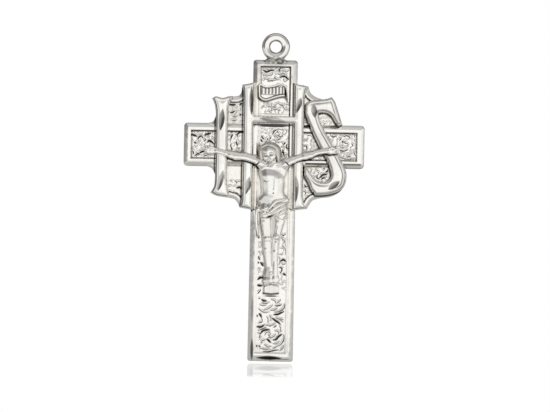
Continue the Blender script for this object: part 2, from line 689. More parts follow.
TITLE = path((-1.74, -5.35),
             ("C", (-1.4, -5.62), (-0.9, -5.74), (0.0, -5.45), (0.7, -5.27), (1.1, -5.3), (1.38, -5.7)),
             ("L", (1.22, -4.05)),
             ("C", (0.6, -3.8), (-0.2, -4.05), (-1.0, -4.12), (-1.5, -3.86), (-1.78, -4.1)),
             ("L", (-1.74, -5.35)))[:-1]
REST = path((-0.84, -24.86), ("C", (-0.4, -24.74), (0.4, -24.74), (0.86, -24.88)), ("L", (0.82, -25.94)),
            ("C", (0.0, -26.03), (-0.84, -25.96)), ("L", (-0.84, -24.86)))[:-1]


# ---- the figure ----
def footprint(clay):
    # how far a point of the ground lies inside the clay seen from the front
    flat = -clay.d.min(1)

    def raised(x, z):
        u = np.clip((x - clay.lo[0]) / clay.h, 0, flat.shape[0] - 1.01)
        w = np.clip((z - clay.lo[2]) / clay.h, 0, flat.shape[1] - 1.01)
        off = np.hypot(u * clay.h - x + clay.lo[0], w * clay.h - z + clay.lo[2])
        i, j = u.astype(int), w.astype(int)
        return blend(flat, i, j, u - i, w - j) - 3 * off
    return raised


def figure_shade(x, z):
    # how dirty the foot of the figure is: most under the upper arms, least down the legs
    arm = 0.3 + 0.7 * ramp(x, -5.4, -4.4) * ramp(-x, -6.8, -6.5)
    body = 0.5 - 0.15 * ramp(-z, 17.0, 18.0) + 0.25 * ramp(-x, 0.3, 0.6) * ramp(-z, 17.8, 18.3)
    body *= 1 - 0.6 * ramp(-x, 1.65, 1.8) * ramp(-z, 17.0, 17.4)
    low = ramp(-z, 12.75, 13.0) * ramp(-np.abs(x), -2.2, -1.9)
    return arm * (1 - low) + body * low


def foot_dirt(v, n):
    # the struck sides are dirty towards their foot, most where they face down or left
    side = np.clip(0.15 - n[:, 2] - 0.7 * n[:, 0], 0, 1)
    return ramp(v[:, 1], -1.08, -0.8) * (0.15 + 0.85 * side) * figure_shade(v[:, 0], v[:, 2])


def body_dirt(v, n):
    # thin tarnish between the legs, under the breast, on the hip, flank and rear foot, and a
    # slanted cut in each armpit
    x, z = v[:, 0], v[:, 2]
    up = (z + 20.4) / 2.4
    wedge = 0.06 + 0.24 * up - np.abs(x - 0.02 - 0.2 * up)
    marks = [foot_dirt(v, n), 0.03 + 0.03 * noise2(x, 0.6 * z, 0.4, 55),
             0.36 * ramp(wedge, -0.08, 0.04) * ramp(up, -0.05, 0.05) * ramp(-z, 17.8, 18.0),
             0.5 * ridge(x - 0.02, 0.08) * ramp(-z, 19.8, 20.3) * ramp(z, -23.4, -22.9)]
    marks += [level * blot(x, z, *oval) for level, *oval in (
        (0.18, -0.4, -13.32, 1.05, 0.46), (0.26, -0.95, -16.4, 0.95, 0.85),
        (0.16, 0.95, -14.9, 0.5, 0.8), (0.42, -0.42, -23.95, 0.42, 1.05),
        (0.28, -0.45, -15.75, 0.7, 0.28))]
    for s, cx, cz in ((-1, -1.72, -12.42), (1, 1.42, -12.32)):
        u = ((x - cx) - s * (z - cz)) / 1.414
        w = ((x - cx) + s * (z - cz)) / 1.414
        marks.append(ramp(1 - (u / 0.42) ** 2 - (w / 0.09) ** 2, 0, 0.6))
    return np.maximum.reduce(marks)


BODY_CELL = 0.046
clay = Clay((-7.8, -2.5, -25.2), (7.5, -0.1, -9.9), BODY_CELL, pull=-1.0, draft=0.16)
# trunk: flat in front and quickly rounded at the sides
clay.egg((-0.03, -0.98, -13.15), (1.44, 0.66, 1.15), 0.1)
clay.cone((-1.22, -1.2, -12.42), (1.18, -1.2, -12.38), 0.44, 0.44, 0.3)
clay.egg((0.05, -0.95, -14.5), (1.16, 0.7, 1.55), 0.25)
clay.egg((0.05, -1.00, -16.2), (1.66, 0.74, 0.95), 0.42)
for x, z in ((-0.62, -13.68), (-0.1, -13.74), (0.46, -14.05)):
    clay.cone((x, -1.2, z), (0.86 * x + 0.03, -1.2, -15.65), 0.6, 0.6, 0.42)
clay.cone((0.02, -1.88, -13.9), (0.02, -1.86, -15.0), 0.02, 0.02, 0.1, cut=True)
for s in (-1, 1):
    clay.chain([(s * 0.5, -1.86, -14.12), (s * 0.75, -1.82, -14.14), (s * 1.0, -1.6, -14.08)],
               [0.01, 0.022, 0.02], 0.06, cut=True)
    clay.chain([(s * 0.3, -1.62, -12.62), (s * 1.05, -1.62, -12.5)], [0.07, 0.06], 0.08)
clay.egg((0.02, -1.84, -15.42), (0.05, 0.08, 0.07), 0.06, cut=True)
# neck
clay.cone((-0.12, -1.25, -12.5), (-0.3, -1.45, -11.8), 0.46, 0.44, 0.15)
# arms: the crest runs low, so the broad upper side looks up
for s, arm in ((-1, [(-1.45, -12.12, 0.46), (-2.0, -11.86, 0.42), (-3.0, -11.6, 0.41),
                     (-4.0, -11.52, 0.46), (-4.5, -11.42, 0.4), (-5.0, -11.27, 0.29),
                     (-5.6, -11.14, 0.24), (-6.0, -11.05, 0.3)]),
               (1, [(1.4, -12.12, 0.46), (2.0, -11.87, 0.38), (2.5, -11.68, 0.32),
                    (3.3, -11.44, 0.39), (3.9, -11.27, 0.36), (4.5, -11.03, 0.28),
                    (5.1, -10.92, 0.27), (5.5, -10.86, 0.32)])):
    for (xa, za, ra), (xb, zb, rb) in zip(arm, arm[1:]):
        soft = 0.4 if abs(xa) < 1.5 else 0.12
        clay.cone((xa, -1.22, za), (xb, -1.22, zb), ra, rb, soft, lean=0.42)
    hx, hz = arm[-1][:2]
    clay.egg((hx + s * 0.36, -1.18, hz - 0.03), (0.5, 0.25, 0.36), 0.14, rot=-s * 0.2)
    for q in range(4):
        x0, z0 = hx + s * (0.72 + 0.03 * q), hz + 0.33 - 0.185 * q
        clay.chain([(x0, -1.2, z0), (x0 + s * 0.22, -1.3, z0 + 0.05), (x0 + s * 0.38, -1.44, z0 + 0.06),
                    (x0 + s * 0.32, -1.56, z0 + 0.04)], [0.115, 0.11, 0.1, 0.07], 0.05)
    clay.chain([(hx + s * 0.3, -1.3, hz + 0.2), (hx + s * 0.52, -1.46, hz + 0.3),
                (hx + s * 0.78, -1.52, hz + 0.24)], [0.13, 0.11, 0.08], 0.06)
# legs
for leg in ([(-0.72, -17.0, 0.66), (-0.68, -18.5, 0.55), (-0.5, -20.3, 0.46), (-0.47, -21.4, 0.4),
             (-0.32, -23.1, 0.29)],
            [(0.84, -17.0, 0.62), (0.8, -18.5, 0.46), (0.46, -20.1, 0.36), (0.38, -21.6, 0.3),
             (0.34, -23.1, 0.23)]):
    for (xa, za, ra), (xb, zb, rb) in zip(leg, leg[1:]):
        ya, yb = -1.06 - 0.1 * ra, -1.06 - 0.1 * rb
        clay.cone((xa, ya, za), (xb, yb, zb), ra, rb, 0.12)
    xk, zk, rk = leg[2]
    clay.egg((xk, -1.3, zk + 0.1), (rk * 0.78, 0.34, 0.34), 0.12)
    clay.cone((xk - 0.35, -1.58, zk - 0.22), (xk + 0.35, -1.58, zk - 0.2), 0.03, 0.03, 0.06, cut=True)
    clay.cone((xk, -1.32, zk - 0.5), (leg[4][0], -1.18, -22.9), 0.16, 0.08, 0.12)
clay.cone((0.08, -0.96, -17.9), (0.06, -0.98, -20.4), 0.42, 0.3, 0.14)
clay.cone((0.06, -0.98, -20.4), (0.04, -1.00, -24.7), 0.3, 0.28, 0.08)
# feet, the viewer's right one in front
clay.egg((-0.36, -1.1, -23.95), (0.46, 0.2, 1.1), 0.14, rot=-0.12)
clay.egg((-0.44, -1.14, -24.6), (0.42, 0.24, 0.36), 0.16)
clay.egg((0.38, -1.14, -23.8), (0.3, 0.28, 1.3), 0.14, rot=0.03)
clay.egg((0.44, -1.14, -24.5), (0.4, 0.3, 0.5), 0.16)
for q in range(5):
    clay.egg((0.12 + 0.145 * q, -1.38, -24.9 + 0.03 * q), (0.075, 0.1, 0.12), 0.03)
for q in range(4):
    clay.egg((-0.74 + 0.14 * q, -1.32, -24.9 - 0.02 * q), (0.07, 0.09, 0.11), 0.03)
body_print = footprint(clay)
make("corpus_body", *clay.mesh(stop=-0.17), "figure", m_body, ["corpus"], body_dirt)

# head: built upright about its own centre, then tipped forward and towards one shoulder
HEAD = np.array((-0.4, -1.36, -11.42))
PITCH, ROLL, TURN, GROW = 0.16, -0.15, 0.2, 1.2


def head_place(v):
    v = np.asarray(v, float) * (GROW, GROW * 0.9, GROW)
    x, y = turn(v[:, 0], v[:, 1], TURN)
    y, z = turn(y, v[:, 2], -PITCH)
    x, z = turn(x, z, ROLL)
    return np.stack([x, np.minimum(y, 0.95), z], 1) + HEAD


HEAD_CELL = 0.026
clay = Clay((-1.0, -1.15, -1.5), (1.0, 0.75, 1.35), HEAD_CELL)
clay.egg((0, -0.05, 0.22), (0.68, 0.74, 0.8), 0.05)
clay.egg((0, -0.16, -0.34), (0.5, 0.52, 0.62), 0.18)
clay.cone((0, 0.1, -0.4), (0.05, 0.35, -1.15), 0.36, 0.38, 0.15)
for s in (-1, 1):
    clay.egg((s * 0.35, -0.5, -0.14), (0.2, 0.16, 0.17), 0.14)
    clay.egg((s * 0.245, -0.72, 0.06), (0.165, 0.12, 0.1), 0.09, cut=True)
    clay.egg((s * 0.245, -0.625, 0.035), (0.135, 0.1, 0.085), 0.03)
    clay.chain([(s * 0.1, -0.72, -0.005), (s * 0.245, -0.745, -0.04), (s * 0.38, -0.66, 0.0)],
               [0.02, 0.024, 0.018], 0.02, cut=True)
    clay.chain([(s * 0.09, -0.73, 0.15), (s * 0.24, -0.75, 0.205), (s * 0.42, -0.64, 0.14)],
               [0.05, 0.052, 0.035], 0.06)
    clay.egg((s * 0.075, -0.815, -0.235), (0.06, 0.07, 0.052), 0.035)
    clay.chain([(s * 0.015, -0.8, -0.335), (s * 0.15, -0.765, -0.385), (s * 0.3, -0.63, -0.52)],
               [0.048, 0.055, 0.035], 0.03)
clay.cone((0, -0.72, 0.13), (0, -0.86, -0.2), 0.052, 0.075, 0.07)
clay.egg((0, -0.855, -0.225), (0.062, 0.062, 0.052), 0.04)
clay.chain([(-0.15, -0.685, -0.425), (0, -0.745, -0.405), (0.15, -0.685, -0.425)],
           [0.028, 0.042, 0.028], 0.03)
clay.chain([(-0.12, -0.685, -0.495), (0, -0.735, -0.505), (0.12, -0.685, -0.495)],
           [0.03, 0.048, 0.03], 0.03)
clay.chain([(-0.13, -0.74, -0.458), (0, -0.8, -0.455), (0.13, -0.74, -0.458)],
           [0.014, 0.019, 0.014], 0.02, cut=True)
# short full beard in locks
for q in range(11):
    t = q / 10 - 0.5
    a = (0.92 * t, -0.62 + 0.9 * t * t, -0.6 + 0.75 * t * t)
    b = (0.62 * t + 0.02 * math.sin(q * 2.1), -0.56 + 0.8 * t * t, -1.02 + 0.95 * t * t)
    clay.chain([a, ((a[0] + b[0]) / 2, a[1] - 0.09, (a[2] + b[2]) / 2), b],
               [0.085, 0.085, 0.035], 0.035)
verts, faces = clay.mesh()


def face_dirt(v):
    # tarnish under the lids and brows, beside the nose, in the parting of the lips and the beard
    x, z = np.abs(v[:, 0]), v[:, 2]
    lid = np.hypot((x - 0.245) / 0.15, (z + 0.01) / 0.05)
    brow = np.hypot((x - 0.24) / 0.17, (z - 0.115) / 0.045)
    wing = np.hypot((x - 0.12) / 0.05, (z + 0.2) / 0.07)
    lips = np.hypot(x / 0.12, (z + 0.458) / 0.035)
    chin = np.hypot(x / 0.16, (z + 0.57) / 0.04)
    soil = 0.85 * np.exp(-lid ** 4) + 0.45 * np.exp(-brow ** 4) + 0.55 * np.exp(-wing ** 2)
    soil += 0.7 * np.exp(-lips ** 4) + 0.45 * np.exp(-chin ** 4)
    beard = ramp(-z, 0.55, 0.75) * (0.5 + 0.5 * np.sin(26 * v[:, 0] / (1.0 + 0.5 * z)))
    return (soil + 0.6 * beard) * ramp(-v[:, 1], 0.2, 0.4)


make("corpus_face", head_place(verts), faces, "figure", m_face, (), face_dirt(verts))

# hair: parted in the middle, falling in thick locks to the shoulders
clay = Clay((-1.3, -1.0, -1.9), (1.3, 0.95, 1.4), HEAD_CELL * 1.15)
clay.egg((0, 0.08, 0.3), (0.84, 0.82, 0.86), 0.05)
for s in (-1, 1):
    for q in range(8):
        u = q / 7
        x0 = 0.03 + 0.06 * u
        y0 = -0.72 + 1.1 * u
        top = (s * x0, y0 + 0.06, 1.03 - 0.3 * (u - 0.35) ** 2)
        crown = (s * (0.42 + 0.06 * math.sin(math.pi * u)), y0 + 0.08, 0.9 - 0.2 * (u - 0.35) ** 2)
        mid = (s * (0.7 + 0.14 * math.sin(math.pi * u)), -0.42 + 0.85 * u, 0.5 - 0.05 * u)
        low = (s * (0.74 + 0.1 * math.sin(math.pi * u)), -0.3 + 0.7 * u,
               -0.25 - 0.06 * math.sin(3 * q))
        end = (s * (0.66 + 0.05 * math.cos(2 * q)), -0.22 + 0.6 * u, -0.75 + 0.1 * math.sin(q * 2))
        clay.chain([top, crown, mid, low, end], [0.1, 0.13, 0.135, 0.13, 0.06], 0.05, n=6)
# opening for the face
clay.egg((0, -0.95, -0.02), (0.56, 0.75, 0.62), 0.06, cut=True)
clay.egg((0, -0.95, -0.55), (0.54, 0.75, 0.8), 0.06, cut=True)
verts, faces = clay.mesh()
make("corpus_hair", head_place(verts), faces, "figure", m_hair)

# ---- loincloth ----
INTO = 0.07    # how far the middle of a fold lies inside the rounded hips


def hip_y(x, z):
    # where the middle of a fold lies, front to back
    q = 1 - (x / (1.72 - INTO)) ** 2 - ((z + 16.9) / (1.75 - INTO)) ** 2
    return -1.1 - (0.98 - INTO) * math.sqrt(max(q, 0.02))


CLOTH_CELL = 0.034
clay = Clay((-2.2, -2.5, -20.6), (1.95, -0.1, -15.1), CLOTH_CELL, pull=-0.95, draft=0.08)
clay.egg((0.2, -1.1, -17.0), (1.36, 0.88, 0.8), 0.05)
clay.cone((-0.66, -1.12, -17.3), (-0.7, -1.22, -17.75), 0.68, 0.6, 0.15)
clay.cone((0.8, -1.12, -16.9), (0.86, -1.24, -17.75), 0.76, 0.58, 0.15)
clay.egg((0.08, -1.4, -17.3), (0.8, 0.45, 0.55), 0.2)
# the folds fall from the viewer's right hip towards the left thigh
for fold in ([(1.5, -15.95), (1.0, -16.1), (0.35, -16.3), (-0.05, -16.65), (-0.45, -17.1),
              (-1.15, -17.48)],
             [(1.5, -16.36), (0.9, -16.58), (0.3, -16.95), (-0.25, -17.38), (-0.8, -17.68)],
             [(1.48, -16.78), (0.95, -17.02), (0.45, -17.35), (0.0, -17.66)],
             [(1.46, -17.2), (1.0, -17.42), (0.55, -17.78)],
             [(1.44, -17.58), (1.1, -17.76), (0.85, -17.95)],
             [(-0.55, -16.95), (-0.95, -17.12), (-1.3, -17.15)],
             [(-0.75, -17.42), (-1.0, -17.6), (-1.25, -17.85)]):
    p = spline(fold, 3)
    clay.chain([(x, hip_y(x, z), z) for x, z in p[::2]], [0.1, 0.17, 0.16, 0.08], 0.02)
# hem
clay.chain([(-1.28, -1.42, -17.9), (-0.85, -1.72, -18.05), (-0.3, -1.66, -17.72),
            (0.1, -1.6, -17.86), (0.6, -1.78, -18.12), (1.42, -1.42, -17.95)],
           [0.07, 0.09, 0.06, 0.07, 0.09, 0.07], 0.05)
# the gathered end that hangs at the viewer's left
clay.egg((-1.48, -1.3, -17.15), (0.26, 0.28, 0.34), 0.1)
clay.chain([(-1.62, -1.36, -17.1), (-1.71, -1.26, -18.0), (-1.64, -1.1, -19.0), (-1.5, -0.92, -19.85)],
           [0.13, 0.12, 0.11, 0.07], 0.03)
clay.chain([(-1.46, -1.26, -17.2), (-1.47, -1.12, -17.9), (-1.46, -0.98, -18.7)], [0.08, 0.07, 0.05], 0.03)
cloth_print = footprint(clay)


def cloth_dirt(v, n):
    gap = np.hypot((v[:, 0] + 0.3) / 0.44, (v[:, 2] + 17.86 - 0.28 * (v[:, 0] + 0.3)) / 0.13)
    return np.maximum(foot_dirt(v, n), ridge(gap, 1.0, 4))


make("loincloth_folds", *clay.mesh(stop=-0.17), "cloth", m_cloth, ["loincloth"], cloth_dirt)


def figure_print(x, z):
    # ground covered by the head, body and cloth
    head = 1 - np.hypot((x + 0.42) / 1.02, (z + 11.35) / 1.32)
    return np.maximum.reduce([body_print(x, z), cloth_print(x, z), head])


def figure_foot(x, z):
    # the dirt on the ground round the figure
    return figure_shade(x, z) * crevice(x, z, figure_print, 0.1)


# ---- heights and dirt ----
UP = math.pi / 2


def lens(x, z, c, along, wide, angle):
    # 1 in the middle of a long lens-shaped hollow, 0 at its edge
    u, v = turn(x - c[0], z - c[1], angle)
    return np.clip(1 - (u / along) ** 2 - np.abs(v / wide), 0, 1), v / wide


def rim_bevel(d, low, high, width):
    # a chamfer, slightly hollow at its foot and rounded over its crest
    t = np.clip(d / width, 0, 1)
    return low + (high - low) * (0.65 * smin(t, 0.97, 0.12) / 0.97 + 0.35 * np.sin(np.pi / 2 * t))


def sunk(x, z):
    return np.maximum.reduce([signed(x, z, p) for p in SUNK])


def letters_print(x, z):
    best = np.full(x.shape, -1.0)
    for line in (BAR, FRAME, ESS):
        lo, hi = line.min(0) - 0.4, line.max(0) + 0.4
        k = (x > lo[0]) & (x < hi[0]) & (z > lo[1]) & (z < hi[1])
        best[k] = np.maximum(best[k], signed(x[k], z[k], line))
    return best


field_touches = touches_of([
    (1, (-1.0, -26.62), (-0.78, -26.75), (-0.5, -26.75)),
    (0.9, (0.42, -27.25), (0.7, -27.27), (1.1, -27.15)),
    (1, (0.32, -28.2), (0.75, -28.15), (1.05, -28.0), (1.35, -27.85)),
    (1, (-1.25, -28.1), (-1.1, -28.28), (-0.98, -28.5)),
    (1, (0.15, -28.55), (0.45, -28.8), (0.75, -28.98), (1.0, -29.2)),
    (1, (-1.48, -29.5), (-1.0, -29.5), (-0.68, -29.28)),
    (1, (-1.05, -30.2), (-0.8, -29.93), (-0.5, -29.8), (-0.12, -29.8)),
    (1, (0.3, -30.85), (0.6, -30.8), (0.85, -30.5), (1.2, -30.25)),
    (1, (-0.38, -30.75), (-0.18, -30.92), (0.02, -31.12)),
    (0.9, (-0.7, -32.1), (-0.2, -32.12), (0.25, -32.0), (0.85, -31.9)),
    (1, (-1.48, -28.26), (-1.45, -28.42)), (1, (-1.47, -31.44), (-1.44, -31.58)),
    (0.8, (-1.2, -31.5), (-1.05, -31.6)), (0.6, (-1.32, -26.48), (-1.2, -26.55)),
    (0.6, (1.0, -28.58), (1.3, -28.72)), (0.6, (-1.2, -27.2), (-0.85, -27.28), (-0.5, -27.22)),
    (0.55, (-0.8, -27.75), (-0.3, -27.6), (0.1, -27.3), (0.2, -27.15)),
    (0.55, (0.5, -27.0), (0.85, -26.85), (1.0, -26.6)),
    (0.6, (1.45, -27.0), (1.35, -27.5), (0.95, -27.8), (0.4, -27.95)),
    (0.55, (-0.45, -28.4), (-0.3, -28.7), (-0.35, -29.0)),
    (0.6, (-0.95, -28.6), (-0.9, -28.95), (-1.25, -29.1)),
    (0.55, (-0.6, -29.3), (0.0, -29.38), (0.5, -29.1)), (0.6, (0.35, -29.52), (0.6, -29.35)),
    (0.6, (-1.3, -29.9), (-0.85, -29.7), (-0.5, -29.55)),
    (0.55, (-0.55, -30.35), (-0.4, -30.1), (-0.12, -30.05), (0.0, -30.3)),
    (0.55, (0.0, -30.6), (0.35, -30.52), (0.55, -30.25)),
    (0.55, (-0.92, -31.2), (-0.8, -30.95), (-0.5, -30.85)),
    (0.55, (-0.6, -31.35), (-0.25, -31.6), (0.1, -31.55)),
    (0.6, (1.4, -30.3), (1.4, -30.8), (1.15, -31.3), (0.7, -31.55), (0.35, -31.7)),
    (0.55, (0.95, -29.35), (1.05, -29.7), (0.95, -30.0)),
    (0.4, (-0.95, -26.95), (-0.5, -27.02), (-0.15, -26.9)),
    (0.4, (-1.3, -27.6), (-1.0, -27.85), (-0.6, -28.0), (-0.2, -27.95)),
    (0.4, (0.0, -26.6), (0.35, -26.72), (0.5, -26.95)),
    (0.4, (-0.05, -27.75), (0.35, -27.7), (0.65, -27.5)),
    (0.4, (-0.15, -28.25), (0.0, -28.5), (0.0, -28.85)),
    (0.4, (0.55, -28.5), (0.9, -28.65), (1.25, -28.95)),
    (0.4, (-1.35, -30.1), (-1.1, -30.3), (-1.2, -30.7)),
    (0.4, (-0.25, -30.3), (-0.05, -30.5), (-0.25, -30.65)),
    (0.4, (0.45, -29.9), (0.75, -29.95), (0.85, -30.2)),
    (0.4, (-1.1, -31.75), (-0.6, -31.85), (-0.1, -31.8)),
    (0.4, (0.3, -31.25), (0.65, -31.25), (0.95, -31.0)),
    (0.4, (1.05, -31.95), (1.3, -31.75), (1.4, -31.4)),
    (1, (-1.28, -2.5), (-0.9, -2.66), (-0.5, -2.48), (-0.2, -2.5)),
    (1, (0.5, -3.2), (0.95, -3.1), (1.4, -3.42)), (0.8, (-0.1, -3.18), (0.0, -3.36)),
    (0.6, (-1.15, -3.35), (-0.7, -3.52), (-0.1, -3.55), (0.3, -3.42)),
    (0.6, (0.2, -2.62), (0.6, -2.45), (1.1, -2.6)), (0.6, (-1.3, -3.0), (-0.95, -3.1), (-0.6, -3.02)),
    (0.6, (0.3, -2.9), (0.8, -2.8), (1.2, -2.9)), (0.6, (-0.9, -6.2), (-0.5, -6.35), (0.1, -6.22)),
    (0.6, (0.2, -5.95), (0.75, -6.15), (1.1, -6.6)), (0.6, (-0.5, -6.75), (0.1, -6.6), (0.6, -6.75)),
    (1, (-1.45, -24.52), (-1.15, -24.32), (-0.85, -24.36)),
    (1, (-1.5, -25.1), (-1.25, -25.16), (-1.0, -25.18)),
    (1, (-1.2, -22.72), (-1.05, -22.9), (-0.92, -23.08)), (1, (-1.5, -22.72), (-1.4, -22.78)),
    (1, (1.2, -23.85), (1.35, -23.95), (1.5, -24.02)), (0.9, (0.9, -23.74), (1.0, -23.76)),
    (0.7, (-1.42, -26.0), (-1.25, -25.8), (-1.12, -25.6)), (0.9, (1.08, -19.82), (1.2, -19.9)),
    (0.8, (1.38, -17.9), (1.46, -18.0)), (1, (-1.58, -19.98), (-1.42, -20.14)),
    (0.6, (0.78, -19.45), (0.88, -19.55)), (0.55, (0.85, -20.0), (1.25, -20.35), (1.4, -20.9)),
    (0.55, (1.05, -20.9), (1.4, -21.3), (1.4, -21.9)),
    (0.6, (0.75, -22.1), (0.85, -22.5), (0.75, -22.95))])
for stretch in (
        (-1.5, -1.0, -22.5, -20.5, 0.55, 11, (), 0.1), (-1.5, -1.0, -24.2, -23.2, 0.5, 12, (), 0.2),
        (0.85, 1.5, -25.9, -19.5, 0.55, 13, (), 0.15), (0.75, 1.5, -11.8, -10.4, 0.4, 18, (), 0.3),
        (-1.3, 1.45, -3.7, -2.3, 0.42, 16, (), 0.1), (-1.3, 1.5, -7.0, -5.9, 0.42, 17, (), 0.0),
        (-1.5, 1.5, -10.2, -8.5, 0.42, 8, [(0.5, -9.2, 1)], 0.0),
        (-8.7, -6.3, -11.8, -9.1, 0.4, 21, [(-7.4, -10.5, 1)], 0.0),
        (-4.8, -3.4, -11.8, -9.0, 0.4, 22, (), 0.0),
        (6.0, 8.7, -11.8, -9.1, 0.4, 24, [(7.6, -10.2, -1)], 0.0),
        (3.2, 6.0, -11.8, -9.0, 0.42, 25, (), 0.05)):
    field_touches += sprigs(*stretch)
field_touches += touches_of([
    (0.9, (-1.78, -8.96), (-1.5, -8.88)), (0.7, (-1.6, -9.18), (-1.5, -9.36)),
    (0.8, (-1.35, -9.4), (-1.2, -9.6), (-1.05, -9.76)), (0.8, (-1.42, -9.8), (-1.24, -10.02)),
    (0.8, (-0.2, -9.22), (-0.02, -8.92), (0.25, -8.72)), (0.5, (0.25, -8.66), (0.9, -8.75)),
    (0.9, (0.3, -8.93), (0.37, -8.98)), (0.8, (-0.74, -9.72), (-0.64, -9.78)),
    (0.8, (-0.42, -9.56), (-0.36, -9.64)), (0.7, (0.02, -9.46), (0.1, -9.54)),
    (0.7, (0.4, -9.36), (0.65, -9.45), (0.88, -9.32)), (0.5, (0.2, -9.85), (0.7, -9.66)),
    (0.8, (0.98, -10.32), (1.2, -10.08)), (0.7, (1.36, -10.2), (1.3, -10.44)),
    (1, (-8.72, -9.4), (-8.4, -9.46), (-8.15, -9.6)),
    (0.8, (-8.05, -9.86), (-7.85, -9.6), (-7.65, -9.55), (-7.5, -9.78)),
    (1, (-7.3, -9.46), (-7.05, -9.3), (-6.7, -9.26)),
    (1, (-7.02, -10.2), (-6.85, -10.02), (-6.6, -10.1), (-6.4, -10.3)),
    (0.8, (-8.4, -10.2), (-8.2, -10.3)), (0.8, (-8.55, -11.1), (-8.45, -11.42)),
    (0.9, (-8.3, -11.6), (-8.0, -11.4), (-7.8, -11.5)), (1, (-7.8, -11.3), (-7.35, -11.1)),
    (0.7, (-7.4, -11.65), (-7.1, -11.55)), (0.7, (-7.35, -10.1), (-7.2, -9.85)),
    (1, (-3.95, -9.32), (-3.68, -9.1), (-3.36, -9.02)), (0.7, (-3.95, -9.3), (-3.82, -9.52)),
    (0.7, (-4.68, -9.1), (-4.3, -9.02)), (0.8, (-4.4, -9.3), (-4.58, -9.8)),
    (0.8, (-4.0, -10.1), (-3.84, -10.5)), (0.7, (-4.6, -10.4), (-4.4, -10.9)),
    (0.7, (5.95, -9.25), (6.2, -9.36), (6.5, -9.25)),
    (0.7, (7.3, -9.34), (7.55, -9.22), (7.8, -9.24), (7.98, -9.42)), (1, (7.16, -9.84), (7.26, -9.88)),
    (0.7, (6.88, -9.72), (7.06, -9.5)), (0.6, (7.3, -9.88), (7.55, -10.02), (7.85, -10.1)),
    (0.5, (6.9, -10.38), (7.25, -10.5), (7.6, -10.38)),
    (0.7, (6.95, -10.74), (7.35, -10.84), (7.75, -10.68)),
    (0.7, (7.6, -11.3), (7.9, -11.4), (8.12, -11.3)), (0.7, (8.2, -10.1), (8.32, -10.28)),
    (0.5, (7.0, -11.5), (7.6, -11.68), (8.6, -11.64)), (0.5, (8.4, -10.9), (8.58, -11.3))])


def shaft_field(x, z):
    # 0 on the rim of the shaft to 1 on its field; the lower walls are gentle
    top = ramp(z, -4.3, -3.9)
    low = ramp(-z, 12.4, 13.4)
    left = top * ramp(x, -1.6, -1.46) + (1 - top) * ramp(x, -1.88, -1.42)
    right = (1 - low) * ramp(-x, -1.66, -1.54) + low * ramp(-x, -1.9, -1.35)
    end = ramp(z, -32.34, -32.14) * ramp(-z, 2.02, 2.14)
    return left * right * end * (1 - 0.55 * low)


def arm_field(x, z):
    f = np.maximum(signed(x, z, SUNK[1]), signed(x, z, SUNK[2]))
    return ramp(f, -0.03, 0.09)


def cross_height(x, z):
    d = distance(x, z, CROSS)
    wide = 0.45 + 0.18 * ramp(-z, 17.0, 18.5) * (x < 0)
    h = rim_bevel(d, 0.18 - 1.1 * (wide - 0.45), CREST, wide)
    f = sunk(x, z)
    h -= 0.02 * ramp(-f, 0.0, 0.12) * ramp(f, -0.35, -0.12)
    arms = arm_field(x, z)
    h -= np.maximum((CREST - FIELD) * arms, 0.28 * shaft_field(x, z))
    h += ramp(f, 0.04, 0.16) * (chase(x, z, field_touches)[0] + 0.008 * noise2(x, z, 0.14, 4))
    h -= 0.12 * lens(x, z, (-0.15, -32.76), 1.55, 0.24, 0.0)[0]
    return h + 0.006 * noise2(x, z, 1.3, 9)


